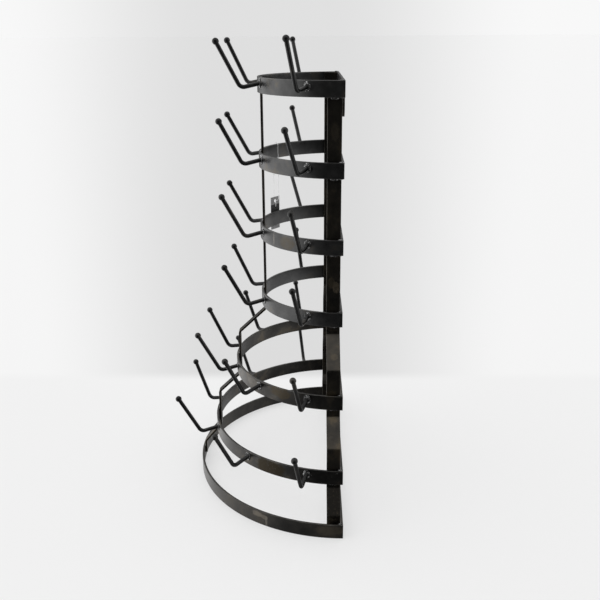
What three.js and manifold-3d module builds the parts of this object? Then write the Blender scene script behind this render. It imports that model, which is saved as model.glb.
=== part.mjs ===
// Half-round mug tree: seven D-shaped hoops of flat bar, stacked up two side uprights and one front
// strip, with bent ball-tipped pegs welded around the six upper hoops.
//
// Millimetres, +Z up, +X across the width, -Y to the rounded front. The origin is on the floor, in the
// middle of the lowest hoop's straight back bar.
import * as THREE from "three";
import { mergeVertices } from "three/addons/utils/BufferGeometryUtils.js";
import Module from "manifold-3d";

// Flat bar and round rod that the stand is made of.
const BAR_THICKNESS = 3;
const BAND_HEIGHT = 20;
const UPRIGHT_WIDTH = 18;
const STRIP_WIDTH = 12;
const ROD_DIAMETER = 5.5;
const BALL_DIAMETER = 8.6;
const WELD_GAP = 0.3;
const STRIP_GAP = 0.5;

// Each hoop from the top: outer radius, height of its top edge, and where its pegs stand, in degrees
// from +X round the front to -X.
const FOUR_PEGS = [24, 72, 111, 156];
const HOOPS = [
  { radius: 112, top: 571, pegs: FOUR_PEGS },
  { radius: 112, top: 473.5, pegs: FOUR_PEGS },
  { radius: 112, top: 375.5, pegs: FOUR_PEGS },
  { radius: 112, top: 278, pegs: FOUR_PEGS },
  { radius: 151, top: 176.5, pegs: [18, 48, 77, 107, 134, 161] },
  { radius: 184, top: 85, pegs: [15, 44, 75, 105, 136, 165] },
  { radius: 208.5, top: BAND_HEIGHT, pegs: [] },
];
const NARROW_HOOP = 3;

// How far below a hoop its strips start to splay, and how far above the next one they are upright again.
const SPLAYS = [
  { below: 11, above: 34 },
  { below: 11, above: 29 },
  { below: 6, above: 10 },
];
const UPRIGHT_END = 1;
const STRIP_END = 10;

// One peg, from the middle of its weld: a shank that droops outwards, a bend and a rising arm.
const PEG = { rise: 2.5, shank: 26, droop: 11, arm: 64, lift: 62, bendRadius: 8, sides: 8, bendSteps: 5 };

// The pegs that hand bending left off the rule, in degrees: how much steeper their arms rise, and how far
// they turn from straight outwards, towards -X.
const HAND_BENT = {
  peg_1_1: { steeper: 7, turn: 5 },
  peg_2_1: { steeper: 0, turn: 4 },
  peg_2_3: { steeper: -4, turn: 0 },
  peg_2_4: { steeper: -4, turn: 0 },
  peg_3_1: { steeper: 0, turn: -3 },
  peg_3_3: { steeper: -4, turn: 0 },
  peg_3_4: { steeper: -11, turn: 0 },
  peg_4_1: { steeper: 0, turn: -4 },
  peg_4_4: { steeper: 8, turn: 0 },
  peg_6_4: { steeper: 7, turn: 3 },
};
const AS_RULED = { steeper: 0, turn: 0 };

// Wall-hanging tabs under the top hoop, behind the uprights.
const TAB = { width: 20, height: 23, thickness: 2.6, holeDiameter: 7, holeDrop: 13, setIn: 0.4 };

// Blank card tag on a nylon loop, hung over the second hoop.
const TAG = { angle: 125, hoop: 1, width: 20, height: 48, thickness: 0.6, standOff: 3, bottom: 348 };
const TAG_HOLE = { diameter: 5, drop: 6 };
const LOOP = { diameter: 0.9, clearance: 0.7, sides: 6, arcSteps: 6, standOff: 1.6 };
const LOCK = { diameter: 2.2, length: 5, rise: 40 };

const FINISHES = {
  hoop: { color: 0x1d1d1e, roughness: 0.45, metalness: 0.6 },
  baseHoop: { color: 0x2b2826, roughness: 0.5, metalness: 0.6 },
  upright: { color: 0x171716, roughness: 0.45, metalness: 0.6 },
  peg: { color: 0x141416, roughness: 0.35, metalness: 0.6 },
  card: { color: 0x8e8f91, roughness: 0.8, metalness: 0 },
  nylon: { color: 0xd8d8d4, roughness: 0.4, metalness: 0 },
};

const ARC_SEGMENTS = 20;
const radians = THREE.MathUtils.degToRad;

const wasm = await Module();
wasm.setup();

// A closed geometry as a solid that can be joined or cut.
function toSolid(geometry) {
  const bare = geometry.clone();
  bare.deleteAttribute("normal");
  bare.deleteAttribute("uv");
  const merged = mergeVertices(bare, 1e-4);
  const vertProperties = merged.attributes.position.array;
  const triVerts = new Uint32Array(merged.index.array);
  return new wasm.Manifold(new wasm.Mesh({ numProp: 3, vertProperties, triVerts }));
}

// A joined or cut solid as a geometry again.
function toGeometry(solid) {
  const mesh = solid.getMesh();
  const geometry = new THREE.BufferGeometry();
  geometry.setAttribute("position", new THREE.BufferAttribute(mesh.vertProperties, 3));
  geometry.setIndex(new THREE.BufferAttribute(mesh.triVerts, 1));
  return geometry;
}

function piece(name, geometry, finish) {
  const mesh = new THREE.Mesh(geometry, new THREE.MeshStandardMaterial(FINISHES[finish]));
  mesh.name = name;
  return mesh;
}

// The half-round front band of a hoop: its ends reach the back plane.
function bandGeometry(radius) {
  const outline = new THREE.Shape();
  outline.absarc(0, 0, radius, Math.PI, 2 * Math.PI, false);
  outline.absarc(0, 0, radius - BAR_THICKNESS, 2 * Math.PI, Math.PI, true);
  const options = { depth: BAND_HEIGHT, bevelEnabled: false, curveSegments: ARC_SEGMENTS };
  return new THREE.ExtrudeGeometry(outline, options);
}

// The straight back bar of a hoop, fitted between the ends of its band.
function backGeometry(radius) {
  const length = 2 * (radius - BAR_THICKNESS - WELD_GAP);
  const bar = new THREE.BoxGeometry(length, BAR_THICKNESS, BAND_HEIGHT);
  return bar.translate(0, -BAR_THICKNESS / 2, BAND_HEIGHT / 2);
}

// The heights and hoop numbers of a splayed strip's ends and bends, from the top down.
function splayStations(end) {
  const stations = [{ hoop: 0, z: HOOPS[0].top - UPRIGHT_END }];
  SPLAYS.forEach(({ below, above }, i) => {
    const hoop = NARROW_HOOP + i;
    stations.push({ hoop, z: HOOPS[hoop].top - BAND_HEIGHT - below });
    stations.push({ hoop: hoop + 1, z: HOOPS[hoop + 1].top + above });
  });
  stations.push({ hoop: HOOPS.length - 1, z: end });
  return stations;
}

// A strip that follows the hoops down, drawn with its reach along x and its height along y. reachOf
// gives its outer face's distance from the centre at each hoop, and end is its lower end's height.
function splayedShape(reachOf, end) {
  const outer = splayStations(end).map(({ hoop, z }) => new THREE.Vector2(reachOf(HOOPS[hoop].radius), z));
  const inner = outer.map((point, i) => {
    const before = outer[Math.max(i - 1, 0)];
    const after = outer[Math.min(i + 1, outer.length - 1)];
    const arriving = i === 0 ? inwardNormal(point, after) : inwardNormal(before, point);
    const leaving = i === outer.length - 1 ? arriving : inwardNormal(point, after);
    const mitre = arriving.clone().add(leaving).normalize();
    return point.clone().addScaledVector(mitre, BAR_THICKNESS / mitre.dot(arriving));
  });
  return new THREE.Shape([...inner, ...outer.reverse()]);
}

// The unit normal, towards the centre, of the straight stretch from one point down to the next.
function inwardNormal(from, to) {
  const along = to.clone().sub(from).normalize();
  return new THREE.Vector2(along.y, -along.x);
}

// A side upright: on edge behind the band, its outer face just clear of the curved band.
function uprightGeometry() {
  const frontEdge = BAR_THICKNESS + WELD_GAP + UPRIGHT_WIDTH;
  const reach = (radius) => Math.sqrt((radius - BAR_THICKNESS) ** 2 - frontEdge ** 2) - WELD_GAP;
  const options = { depth: UPRIGHT_WIDTH, bevelEnabled: false };
  const bar = new THREE.ExtrudeGeometry(splayedShape(reach, UPRIGHT_END), options);
  return bar.rotateX(Math.PI / 2).translate(0, -BAR_THICKNESS - WELD_GAP, 0);
}

// The front strip: flat against the inside of the bands, facing forwards.
function stripGeometry() {
  const reach = (radius) => radius - BAR_THICKNESS - STRIP_GAP;
  const options = { depth: STRIP_WIDTH, bevelEnabled: false };
  const bar = new THREE.ExtrudeGeometry(splayedShape(reach, STRIP_END), options);
  bar.rotateX(Math.PI / 2).translate(0, STRIP_WIDTH / 2, 0);
  return bar.rotateZ(-Math.PI / 2);
}

// A line through points, which an extrusion follows with one step from each point to the next.
class StationLine extends THREE.Curve {
  constructor(points) {
    super();
    this.points = points;
    this.steps = points.length - 1;
  }

  getPoint(t, target = new THREE.Vector3()) {
    const from = Math.min(Math.floor(t * this.steps), this.steps - 1);
    return target.lerpVectors(this.points[from], this.points[from + 1], t * this.steps - from);
  }

  getTangent(t, target = new THREE.Vector3()) {
    const station = Math.round(t * this.steps);
    const last = Math.min(station, this.steps - 1);
    const next = this.direction(last);
    return target.copy(this.direction(Math.max(station - 1, 0))).add(next).normalize();
  }

  getUtoTmapping(u) {
    return u;
  }

  direction(i) {
    return this.points[i + 1].clone().sub(this.points[i]).normalize();
  }
}

// Points round an arc in the X-Z plane, both ends included.
function arcPoints(centre, radius, startAngle, endAngle, steps) {
  return Array.from({ length: steps + 1 }, (_, i) => {
    const angle = THREE.MathUtils.lerp(startAngle, endAngle, i / steps);
    return centre.clone().add(alongAngle(angle, radius));
  });
}

function alongAngle(angle, length) {
  return new THREE.Vector3(Math.cos(angle), 0, Math.sin(angle)).multiplyScalar(length);
}

// The centre line of a peg: its drooping shank, which starts inside the band, its bend and its arm.
function pegLine(steeper) {
  const droop = -radians(PEG.droop);
  const lift = radians(PEG.lift + steeper);
  const setback = PEG.bendRadius * Math.tan((lift - droop) / 2);
  const corner = alongAngle(droop, PEG.shank);
  const bendStart = corner.clone().sub(alongAngle(droop, setback));
  const centre = bendStart.add(alongAngle(droop + Math.PI / 2, PEG.bendRadius));
  const bend = arcPoints(centre, PEG.bendRadius, droop - Math.PI / 2, lift - Math.PI / 2, PEG.bendSteps);
  const base = alongAngle(droop, -ROD_DIAMETER);
  const tip = corner.clone().add(alongAngle(lift, PEG.arm));
  return new StationLine([base, ...bend, tip]);
}

// A circle drawn as a regular outline.
function roundOutline(diameter, sides) {
  const corners = Array.from({ length: sides }, (_, i) => {
    const angle = (2 * Math.PI * (i + 0.5)) / sides;
    return new THREE.Vector2(Math.cos(angle), Math.sin(angle)).multiplyScalar(diameter / 2);
  });
  return new THREE.Shape(corners);
}

// A peg with its weld at the origin, reaching along +X: the rod and its ball joined, and the rod's end
// cut upright, just clear of the band.
function pegGeometry(steeper) {
  const line = pegLine(steeper);
  const options = { steps: line.steps, bevelEnabled: false, extrudePath: line };
  const rod = new THREE.ExtrudeGeometry(roundOutline(ROD_DIAMETER, PEG.sides), options);
  const ball = new THREE.SphereGeometry(BALL_DIAMETER / 2, PEG.sides, 6);
  ball.translate(...line.points.at(-1).toArray());
  const cutter = new THREE.BoxGeometry(2 * ROD_DIAMETER, 4 * ROD_DIAMETER, 4 * ROD_DIAMETER);
  cutter.translate(WELD_GAP - ROD_DIAMETER, 0, 0);
  return toGeometry(toSolid(rod).add(toSolid(ball)).subtract(toSolid(cutter)));
}

// A wall-hanging tab with a screw hole and a rounded lower end.
function tabGeometry() {
  const half = TAB.width / 2;
  const outline = new THREE.Shape();
  outline.moveTo(-half, 0);
  outline.lineTo(-half, half - TAB.height);
  outline.absarc(0, half - TAB.height, half, Math.PI, 2 * Math.PI, false);
  outline.lineTo(half, 0);
  const hole = new THREE.Path();
  hole.absarc(0, -TAB.holeDrop, TAB.holeDiameter / 2, 0, 2 * Math.PI, true);
  outline.holes.push(hole);
  const options = { depth: TAB.thickness, bevelEnabled: false, curveSegments: 12 };
  return new THREE.ExtrudeGeometry(outline, options).rotateX(Math.PI / 2);
}

// The blank card, standing across the radial plane, with its punched hole above the middle.
function tagGeometry() {
  const outline = new THREE.Shape();
  outline.moveTo(-TAG.width / 2, TAG.bottom);
  outline.lineTo(TAG.width / 2, TAG.bottom);
  outline.lineTo(TAG.width / 2, TAG.bottom + TAG.height);
  outline.lineTo(-TAG.width / 2, TAG.bottom + TAG.height);
  const hole = new THREE.Path();
  hole.absarc(0, TAG.bottom + TAG.height - TAG_HOLE.drop, TAG_HOLE.diameter / 2, 0, 2 * Math.PI, true);
  outline.holes.push(hole);
  const options = { depth: TAG.thickness, bevelEnabled: false, curveSegments: 10 };
  const card = new THREE.ExtrudeGeometry(outline, options).rotateX(Math.PI / 2).rotateZ(Math.PI / 2);
  return card.translate(HOOPS[TAG.hoop].radius + TAG.standOff - TAG.thickness / 2, 0, 0);
}

// The nylon loop in the radial plane: from its lock up outside the band, over the band's top edge, down
// inside it, out through the card's hole and up to the lock again, which holds both ends.
function loopGeometry() {
  const { radius, top } = HOOPS[TAG.hoop];
  const card = radius + TAG.standOff;
  const hole = TAG.bottom + TAG.height - TAG_HOLE.drop;
  const inside = radius - BAR_THICKNESS - LOOP.clearance;
  const outside = radius + LOOP.clearance;
  const clasp = new THREE.Vector3(card + LOOP.standOff, 0, hole + LOCK.rise);
  const bandEdge = new THREE.Vector3((inside + outside) / 2, 0, top - LOOP.clearance / 2);
  const overTop = arcPoints(bandEdge, (outside - inside) / 2, 0, Math.PI, LOOP.arcSteps);
  const throughCard = [
    [inside, hole + 5],
    [inside + 0.7, hole + 2.4],
    [inside + 2.8, hole + 0.6],
    [card, hole],
    [card + LOOP.standOff - 0.4, hole + 0.7],
    [card + LOOP.standOff, hole + 2.4],
  ].map(([reach, height]) => new THREE.Vector3(reach, 0, height));
  const bandFoot = new THREE.Vector3(outside, 0, top - BAND_HEIGHT - LOOP.clearance);
  const ends = [1, -1].map((side) => clasp.clone().setZ(clasp.z + side * LOOP.diameter / 2));
  const line = new StationLine([ends[0], bandFoot, ...overTop, ...throughCard, ends[1]]);
  const options = { steps: line.steps, bevelEnabled: false, extrudePath: line };
  const strand = new THREE.ExtrudeGeometry(roundOutline(LOOP.diameter, LOOP.sides), options);
  const lock = new THREE.CylinderGeometry(LOCK.diameter / 2, LOCK.diameter / 2, LOCK.length, LOOP.sides);
  lock.rotateX(Math.PI / 2).translate(...clasp.toArray());
  return toGeometry(toSolid(strand).add(toSolid(lock)));
}

// A group turned so that its +X reaches outwards at an angle round the hoops.
function turnedTo(degrees) {
  const group = new THREE.Group();
  group.rotation.z = -radians(degrees);
  return group;
}

// Everything is placed from the back plane, where the half-rounds have their centres.
const stand = new THREE.Group();
stand.position.y = BAR_THICKNESS / 2;

HOOPS.forEach(({ radius, top, pegs }, i) => {
  const number = i + 1;
  const level = new THREE.Group();
  level.position.z = top - BAND_HEIGHT;
  const finish = i === HOOPS.length - 1 ? "baseHoop" : "hoop";
  level.add(piece(`hoop_${number}_band`, bandGeometry(radius), finish));
  level.add(piece(`hoop_${number}_back`, backGeometry(radius), finish));
  pegs.forEach((degrees, k) => {
    const spot = turnedTo(degrees);
    const name = `peg_${number}_${k + 1}`;
    const { steeper, turn } = HAND_BENT[name] ?? AS_RULED;
    const peg = piece(name, pegGeometry(steeper), "peg");
    peg.rotation.z = -radians(turn);
    peg.position.set(radius, 0, BAND_HEIGHT / 2 + PEG.rise);
    spot.add(peg);
    level.add(spot);
  });
  stand.add(level);
});

const rightUpright = piece("upright_right", uprightGeometry(), "upright");
const leftUpright = piece("upright_left", uprightGeometry(), "upright");
leftUpright.scale.x = -1;
stand.add(rightUpright, leftUpright, piece("front_strip", stripGeometry(), "upright"));

const topInside = HOOPS[0].radius - BAR_THICKNESS - WELD_GAP;
for (const [side, sign] of [["right", 1], ["left", -1]]) {
  const tab = piece(`hanger_tab_${side}`, tabGeometry(), "upright");
  tab.position.set(sign * (topInside - TAB.width / 2), -TAB.setIn, HOOPS[0].top - BAND_HEIGHT - WELD_GAP);
  stand.add(tab);
}

const tagSpot = turnedTo(TAG.angle);
tagSpot.add(piece("hang_tag", tagGeometry(), "card"), piece("tag_loop", loopGeometry(), "nylon"));
stand.add(tagSpot);

const mugTree = new THREE.Group();
mugTree.add(stand);

export default mugTree;
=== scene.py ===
"""Half-round mug tree of blackened flat bar and rod: fine meshes and finishes around its frame.

Lengths are metres and +Z is up. The flat back faces +Y, the round front faces -Y, and the stand rests
on z = 0. Every place is worked out from the frame's boxes and a few sizes of the bar and rod.
"""

import logging
import math
from dataclasses import dataclass, field
from enum import Enum
from typing import Any, Iterable, Sequence

import bmesh
import bpy
from mathutils import Matrix, Vector


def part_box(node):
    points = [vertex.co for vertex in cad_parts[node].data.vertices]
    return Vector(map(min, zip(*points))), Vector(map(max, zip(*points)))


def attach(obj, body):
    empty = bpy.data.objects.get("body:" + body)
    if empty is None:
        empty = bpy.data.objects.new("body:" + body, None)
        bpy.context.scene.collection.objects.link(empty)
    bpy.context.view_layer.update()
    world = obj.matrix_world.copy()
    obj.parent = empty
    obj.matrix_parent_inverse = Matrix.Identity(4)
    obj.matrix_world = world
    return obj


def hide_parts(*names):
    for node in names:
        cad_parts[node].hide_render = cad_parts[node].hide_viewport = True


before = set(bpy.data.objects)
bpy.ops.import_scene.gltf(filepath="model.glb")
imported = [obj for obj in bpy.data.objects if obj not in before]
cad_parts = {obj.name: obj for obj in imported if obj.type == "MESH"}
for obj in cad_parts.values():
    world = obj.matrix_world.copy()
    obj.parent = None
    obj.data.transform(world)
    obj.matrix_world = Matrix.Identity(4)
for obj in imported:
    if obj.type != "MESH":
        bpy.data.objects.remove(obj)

log = logging.getLogger("mug_tree")

STAND = "stand"
TAG = "tag"
EDGE = "edge"
MM = 0.001
UP = Vector((0, 0, 1))

# Sizes of the bars that more than one sub-assembly uses.
UPRIGHT_WIDTH = 18 * MM
UPRIGHT_FRONT = 21.3 * MM
STRIP_WIDTH = 12 * MM
STRIP_END = 10 * MM

Colour = tuple[float, float, float, float]


def grey(level: float, warmth: float = 0.0) -> Colour:
    """A linear grey, turned a little to brown by a positive warmth."""
    return (level * (1 + warmth), level, level * (1 - 1.4 * warmth), 1.0)


# --- Node trees ---


class Graph:
    """A node tree, and the one way that nodes are added to it."""

    def __init__(self, tree: bpy.types.NodeTree) -> None:
        """Wrap a tree."""
        self.tree = tree

    def add(
        self,
        kind: str,
        settings: dict[str, Any] | None = None,
        feeds: dict[str | int, Any] | None = None,
    ) -> bpy.types.Node:
        """Add one node.

        Args:
            kind: The node's type name.
            settings: Its own properties, set before its sockets are fed.
            feeds: A value, socket or Value for each input, by name or place.

        Returns:
            The new node.
        """
        node = self.tree.nodes.new(kind)
        for name, value in (settings or {}).items():
            setattr(node, name, value)
        for key, value in (feeds or {}).items():
            self.feed(node.inputs[key], value)
        return node

    def feed(self, socket: bpy.types.NodeSocket, value: Any) -> None:
        """Link a socket or Value into an input, or set the input's own value."""
        source = value.socket if isinstance(value, Value) else value
        if isinstance(source, bpy.types.NodeSocket):
            self.tree.links.new(source, socket)
        else:
            socket.default_value = source

    def value(self, kind: str, output: str | int, settings: dict[str, Any] | None = None,
              feeds: dict[str | int, Any] | None = None) -> "Value":
        """Add a node and wrap one of its number outputs."""
        return Value(self, self.add(kind, settings, feeds).outputs[output])

    def scaled(self, vector: Any, factor: Any) -> bpy.types.NodeSocket:
        """A vector multiplied by a number."""
        feeds = {0: vector, "Scale": factor}
        return self.add("ShaderNodeVectorMath", {"operation": "SCALE"}, feeds).outputs[0]


class Value:
    """A number socket. Arithmetic on it adds Math nodes."""

    def __init__(self, graph: Graph, socket: bpy.types.NodeSocket) -> None:
        """Wrap a socket of a graph."""
        self.graph = graph
        self.socket = socket

    def _math(self, operation: str, first: Any, second: Any = 0.0, clamp: bool = False) -> "Value":
        """Add a Math node over two values."""
        settings = {"operation": operation, "use_clamp": clamp}
        return self.graph.value("ShaderNodeMath", 0, settings, {0: first, 1: second})

    def __add__(self, other: Any) -> "Value":
        """Sum."""
        return self._math("ADD", self, other)

    __radd__ = __add__

    def __sub__(self, other: Any) -> "Value":
        """Difference."""
        return self._math("SUBTRACT", self, other)

    def __rsub__(self, other: Any) -> "Value":
        """Difference from another value."""
        return self._math("SUBTRACT", other, self)

    def __mul__(self, other: Any) -> "Value":
        """Product."""
        return self._math("MULTIPLY", self, other)

    def __truediv__(self, other: Any) -> "Value":
        """Quotient."""
        return self._math("DIVIDE", self, other)

    def __pow__(self, other: Any) -> "Value":
        """Power."""
        return self._math("POWER", self, other)

    def __abs__(self) -> "Value":
        """Size without its sign."""
        return self._math("ABSOLUTE", self)

    def sine(self) -> "Value":
        """Sine of an angle in radians."""
        return self._math("SINE", self)

    def root(self) -> "Value":
        """Square root of the value, held above nothing."""
        return self._math("SQRT", self._math("MAXIMUM", self, 0.0))

    def highest(self, other: Any) -> "Value":
        """The larger of two values."""
        return self._math("MAXIMUM", self, other)

    def clamped(self) -> "Value":
        """The value held between 0 and 1."""
        return self._math("ADD", self, 0.0, clamp=True)

    def step(self, low: float, high: float) -> "Value":
        """A smooth rise from 0 at low to 1 at high, or a fall where low is the larger."""
        bounds = {"From Min": min(low, high), "From Max": max(low, high)}
        rise = self.graph.value(
            "ShaderNodeMapRange", "Result", {"interpolation_type": "SMOOTHSTEP"}, {"Value": self, **bounds}
        )
        return rise if low < high else 1 - rise


class Recipe(Graph):
    """A Geometry Nodes tree with named inputs, which works on a curve or mesh."""

    def __init__(self, name: str, inputs: dict[str, tuple[str, Any]]) -> None:
        """Make the tree.

        Args:
            name: The tree's name.
            inputs: For each named input, its socket's type and default value.
        """
        super().__init__(bpy.data.node_groups.new(name, "GeometryNodeTree"))
        face = self.tree.interface
        face.new_socket("Geometry", in_out="INPUT", socket_type="NodeSocketGeometry")
        face.new_socket("Geometry", in_out="OUTPUT", socket_type="NodeSocketGeometry")
        for label, (kind, default) in {**inputs, "Material": ("NodeSocketMaterial", None)}.items():
            socket = face.new_socket(label, in_out="INPUT", socket_type=kind)
            if default is not None:
                socket.default_value = default
        self.inputs = self.add("NodeGroupInput").outputs

    def number(self, label: str) -> Value:
        """A named number input as a Value."""
        return Value(self, self.inputs[label])

    def sweep(self, curve: Any, profile: Any, **more: Any) -> bpy.types.NodeSocket:
        """A closed solid made by sweeping a profile along a curve."""
        feeds = {"Curve": curve, "Profile Curve": profile, **more, "Fill Caps": True}
        return self.add("GeometryNodeCurveToMesh", None, feeds).outputs[0]

    def ends_with(self, geometry: bpy.types.NodeSocket) -> "Recipe":
        """Close the tree: smooth shading, real geometry and the material, then the output."""
        smooth = self.add("GeometryNodeSetShadeSmooth", None, {0: geometry})
        real = self.add("GeometryNodeRealizeInstances", None, {0: smooth.outputs[0]})
        feeds = {0: real.outputs[0], "Material": self.inputs["Material"]}
        dressed = self.add("GeometryNodeSetMaterial", None, feeds)
        self.add("NodeGroupOutput", None, {0: dressed.outputs[0]})
        return self

    def identifier(self, label: str) -> str:
        """The socket identifier of a named input."""
        return next(
            item.identifier
            for item in self.tree.interface.items_tree
            if item.item_type == "SOCKET" and item.in_out == "INPUT" and item.name == label
        )

    def made(self, name: str, source: bpy.types.Object, **values: Any) -> bpy.types.Object:
        """Run the tree on a source object and keep its result as a plain mesh.

        Args:
            name: The finished piece's name.
            source: The curve or mesh to work on, which is removed afterwards.
            values: The inputs' values, with underscores for the spaces in their names.

        Returns:
            The finished mesh object, at the origin.
        """
        modifier = source.modifiers.new("Shape", "NODES")
        modifier.node_group = self.tree
        for label, value in values.items():
            modifier[self.identifier(label.replace("_", " "))] = value
        bpy.context.view_layer.update()
        evaluated = source.evaluated_get(bpy.context.evaluated_depsgraph_get())
        mesh = bpy.data.meshes.new_from_object(evaluated)
        mesh.name = name
        bpy.data.objects.remove(source)
        return Shape.linked(name, mesh)


def swept_bar_recipe() -> Recipe:
    """A section swept along a flat path, its first side held along one direction."""
    recipe = Recipe(
        "Swept bar",
        {
            "Section": ("NodeSocketObject", None),
            "Across": ("NodeSocketVector", (0.0, 0.0, 1.0)),
        },
    )
    held = recipe.add(
        "GeometryNodeSetCurveNormal",
        {"mode": "FREE"},
        {"Curve": recipe.inputs["Geometry"], "Normal": recipe.inputs["Across"]},
    )
    section = recipe.add("GeometryNodeObjectInfo", None, {"Object": recipe.inputs["Section"]})
    return recipe.ends_with(recipe.sweep(held.outputs[0], section.outputs["Geometry"]))


def rod_recipe() -> Recipe:
    """A round rod along a path, as thick at each point as the path's own radius says."""
    recipe = Recipe("Round rod", {"Sides": ("NodeSocketInt", 20)})
    circle = recipe.add(
        "GeometryNodeCurvePrimitiveCircle", None, {"Resolution": recipe.inputs["Sides"], "Radius": 1.0}
    )
    radius = recipe.add("GeometryNodeInputRadius").outputs[0]
    return recipe.ends_with(recipe.sweep(recipe.inputs["Geometry"], circle.outputs["Curve"], Scale=radius))


def weld_recipe() -> Recipe:
    """A rippled, lumpy bead of weld along a path, which thins out at the ends of an open path."""
    recipe = Recipe(
        "Weld bead",
        {
            "Bead Radius": ("NodeSocketFloat", 1.2 * MM),
            "Ripple Length": ("NodeSocketFloat", 1.8 * MM),
            "Ripple Depth": ("NodeSocketFloat", 0.22),
            "Lumps": ("NodeSocketFloat", 0.5 * MM),
            "Open": ("NodeSocketFloat", 0.0),
            "Seed": ("NodeSocketFloat", 0.0),
        },
    )
    pieces_per_ripple = 4
    spaced = recipe.add(
        "GeometryNodeResampleCurve",
        {"mode": "LENGTH"},
        {"Curve": recipe.inputs["Geometry"], "Length": recipe.number("Ripple Length") / pieces_per_ripple},
    )
    along = recipe.add("GeometryNodeSplineParameter")
    phase = Value(recipe, along.outputs["Length"]) / recipe.number("Ripple Length") * math.pi
    ripple = 1 - recipe.number("Ripple Depth") * abs(phase.sine())
    from_middle = abs(Value(recipe, along.outputs["Factor"]) * 2 - 1)
    thinnest = 0.12
    tapered = (1 - from_middle ** 4).root().highest(thinnest)
    thickness = ripple * (1 - recipe.number("Open") * (1 - tapered)) * recipe.number("Bead Radius")
    circle = recipe.add("GeometryNodeCurvePrimitiveCircle", None, {"Resolution": 10, "Radius": 1.0})
    bead = recipe.sweep(spaced.outputs[0], circle.outputs["Curve"], Scale=thickness)
    lump_scale = 420.0
    cloud = recipe.value(
        "ShaderNodeTexNoise",
        "Fac",
        {"noise_dimensions": "4D"},
        {"Scale": lump_scale, "Detail": 1.0, "W": recipe.number("Seed")},
    )
    normal = recipe.add("GeometryNodeInputNormal").outputs[0]
    push = recipe.scaled(normal, (cloud - 0.5) * recipe.number("Lumps"))
    feeds = {"Geometry": bead, "Offset": push}
    return recipe.ends_with(recipe.add("GeometryNodeSetPosition", None, feeds).outputs[0])


def spatter_recipe() -> Recipe:
    """Small half-sunk beads of weld spatter, strewn around points and laid on a surface."""
    recipe = Recipe(
        "Weld spatter",
        {
            "Surface": ("NodeSocketObject", None),
            "Spread": ("NodeSocketFloat", 9 * MM),
            "Smallest": ("NodeSocketFloat", 0.22 * MM),
            "Largest": ("NodeSocketFloat", 0.6 * MM),
            "Seed": ("NodeSocketInt", 1),
        },
    )
    spread = recipe.scaled((1.0, 1.0, 1.0), recipe.inputs["Spread"])
    back = recipe.scaled(spread, -1.0)
    shift = recipe.add(
        "FunctionNodeRandomValue",
        {"data_type": "FLOAT_VECTOR"},
        {0: back, 1: spread, "Seed": recipe.inputs["Seed"]},
    ).outputs[0]
    strewn = recipe.add(
        "GeometryNodeSetPosition", None, {"Geometry": recipe.inputs["Geometry"], "Offset": shift}
    )
    surface = recipe.add("GeometryNodeObjectInfo", None, {"Object": recipe.inputs["Surface"]})
    nearest = recipe.add(
        "GeometryNodeProximity", {"target_element": "FACES"}, {0: surface.outputs["Geometry"]}
    )
    laid = recipe.add(
        "GeometryNodeSetPosition",
        None,
        {"Geometry": strewn.outputs[0], "Position": nearest.outputs["Position"]},
    )
    drop = recipe.add("GeometryNodeMeshIcoSphere", None, {"Radius": 1.0, "Subdivisions": 2})
    size = recipe.add(
        "FunctionNodeRandomValue",
        {"data_type": "FLOAT"},
        {2: recipe.inputs["Smallest"], 3: recipe.inputs["Largest"], "Seed": recipe.inputs["Seed"]},
    ).outputs[1]
    feeds = {"Points": laid.outputs[0], "Instance": drop.outputs["Mesh"], "Scale": size}
    return recipe.ends_with(recipe.add("GeometryNodeInstanceOnPoints", None, feeds).outputs[0])


# --- Shapes ---


@dataclass
class Line:
    """A path through points, with a radius at each point where one is needed."""

    points: list[Vector]
    radii: list[float] = field(default_factory=list)
    closed: bool = False


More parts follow.
